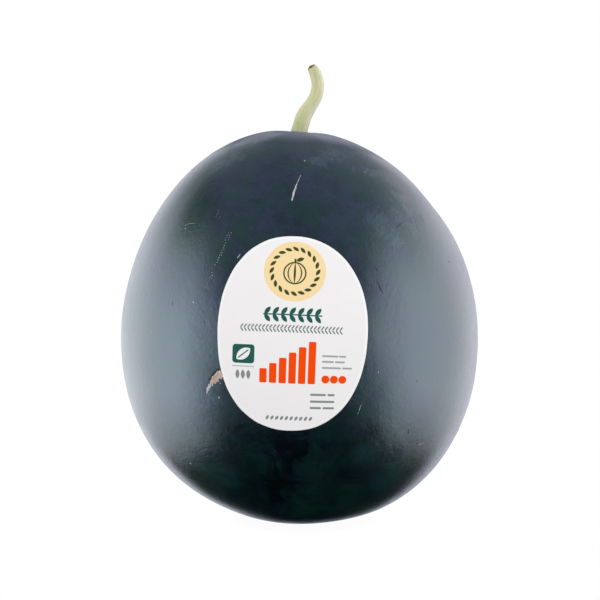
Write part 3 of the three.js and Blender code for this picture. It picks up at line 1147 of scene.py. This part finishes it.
# Below the light lies a dark floor. Its edge drops with the distance to the side and to the back.
FLOOR_SIDE_SLOPES = (0.96, 0.88)  # on the -X and the +X side
FLOOR_BACK_SLOPES = (0.51, 0.43)  # behind on the -X side, and straight behind and on the +X side
FLOOR_BACK_GROWTHS = (0.32, 0.52)  # how much the back slope grows to the -X and the +X side
FLOOR_SEAM = (-0.05, 0.05)  # where the -X side's values go over into the +X side's
FLOOR_BACK_SEAM = (-0.2, 0)  # and where the back slope's do
FLOOR_FRONT_DROP = 0.24
FLOOR_GLOW = 0.13
EVEN_LIGHT = 1.0  # falls on matt surfaces from all around
EVEN_LIGHT_SLOPES = (0.05, 0.06)  # how much brighter it is from +X and from above
EVEN_LIGHT_BELOW = 0.4  # its share that still comes from straight below, off the shaded floor
# How far below the lower edge, where 1 is the edge, each fades away from its full strength
SKY_FADE = (1.15, 0.8)
GLOW_FADE = (2.4, 1.2)
LIGHT_FADE = (1.2, 0.4)


def floor_edge(nodes, x, y):
    """How far below the horizon the lights' lower edge is in each direction."""
    aside = nodes.math("ABSOLUTE", x)
    side = nodes.times(aside, nodes.remap(x, *FLOOR_SEAM, *FLOOR_SIDE_SLOPES))
    growth = nodes.times(aside, nodes.remap(x, *FLOOR_SEAM, *FLOOR_BACK_GROWTHS))
    back = nodes.times(y, nodes.plus(nodes.remap(x, *FLOOR_BACK_SEAM, *FLOOR_BACK_SLOPES), growth))
    return nodes.math("MAXIMUM", side, FLOOR_FRONT_DROP, back)


def side_light(nodes, lamp, azimuth, elevation, drop):
    """The light of one lamp of SIDE_LIGHTS in each direction."""
    turn = nodes.times(azimuth, lamp["side"])
    rising = nodes.times(elevation, lamp["lean"][0])
    falling = nodes.times(elevation, -lamp["lean"][1])
    leaned = nodes.minus(turn, nodes.math("MAXIMUM", rising, falling))
    front = nodes.remap(leaned, *lamp["front"])
    back = nodes.remap(turn, *reversed(lamp["back"]), smooth=False)
    top = nodes.remap(elevation, *reversed(lamp["top"]))
    height = nodes.times(top, nodes.remap(drop, *LIGHT_FADE, smooth=False))
    return nodes.scaled(lamp["colour"], nodes.times(front, back, height, lamp["strength"]))


def studio_light(nodes, x, y, z):
    """What gloss mirrors: a dim sky, a soft light on each side with flags in it, and a dark floor."""
    azimuth = nodes.math("DEGREES", nodes.math("ARCTAN2", x, nodes.times(y, -1.0)))
    elevation = nodes.math("DEGREES", nodes.math("ARCSINE", z))
    # How far below the lights' lower edge a direction is, where 1 is the edge
    drop = nodes.math("DIVIDE", nodes.times(z, -1.0), floor_edge(nodes, x, y))
    sky = nodes.times(nodes.remap(azimuth, 0, 70, *SKY_STRENGTHS), nodes.remap(drop, *SKY_FADE))
    glow = nodes.times(nodes.math("ABSOLUTE", x), FLOOR_GLOW, nodes.remap(drop, *GLOW_FADE))
    light = nodes.vector("ADD", nodes.scaled(SKY_COLOUR, sky), nodes.scaled((1, 1, 1), glow))
    for lamp in SIDE_LIGHTS:
        light = nodes.vector("ADD", light, side_light(nodes, lamp, azimuth, elevation, drop))
    direction = nodes.join(azimuth, elevation)
    for middle, reach, shade in FLAGS:
        away = nodes.vector("SUBTRACT", direction, (*middle, 0))
        away = nodes.vector("LENGTH", nodes.vector("DIVIDE", away, (*reach, 1)))
        light = nodes.scaled(light, nodes.remap(away, 0.2, 1, 1 - shade, 1))
    return light


def even_light(nodes, x, z):
    """What lights matt surfaces from each direction."""
    aside, above = EVEN_LIGHT_SLOPES
    light = nodes.plus(EVEN_LIGHT, nodes.times(x, aside), nodes.times(z, above))
    light = nodes.times(light, nodes.remap(z, -1.0, -0.5, EVEN_LIGHT_BELOW, 1))
    return nodes.scaled((1, 1, 1), light)


def make_world():
    """White for the camera, an even light for matt surfaces, and the studio for gloss."""
    world = bpy.data.worlds.new("studio")
    bpy.context.scene.world = world
    world.use_nodes = True
    world.cycles.sampling_method = "NONE"
    nodes = Nodes(world.node_tree)
    x, y, z = nodes.split(nodes.add("TexCoord").outputs["Generated"])
    paths = nodes.add("LightPath").outputs
    light = nodes.mix(paths["Is Diffuse Ray"], studio_light(nodes, x, y, z), even_light(nodes, x, z))
    light = nodes.mix(paths["Is Camera Ray"], light, (1, 1, 1))
    nodes.end("World", nodes.add("Background", {"Color": light, "Strength": 1.0}))


RIND_POINTS, RIND_FACES = closed_body(rind_rings())
RIND_SURFACE = BVHTree.FromPolygons([tuple(point) for point in RIND_POINTS], RIND_FACES)

make_camera()
make_rind()
make_all_marks()
make_stem()
make_label()
make_floor()
make_world()
bpy.context.scene.view_settings.view_transform = "Standard"
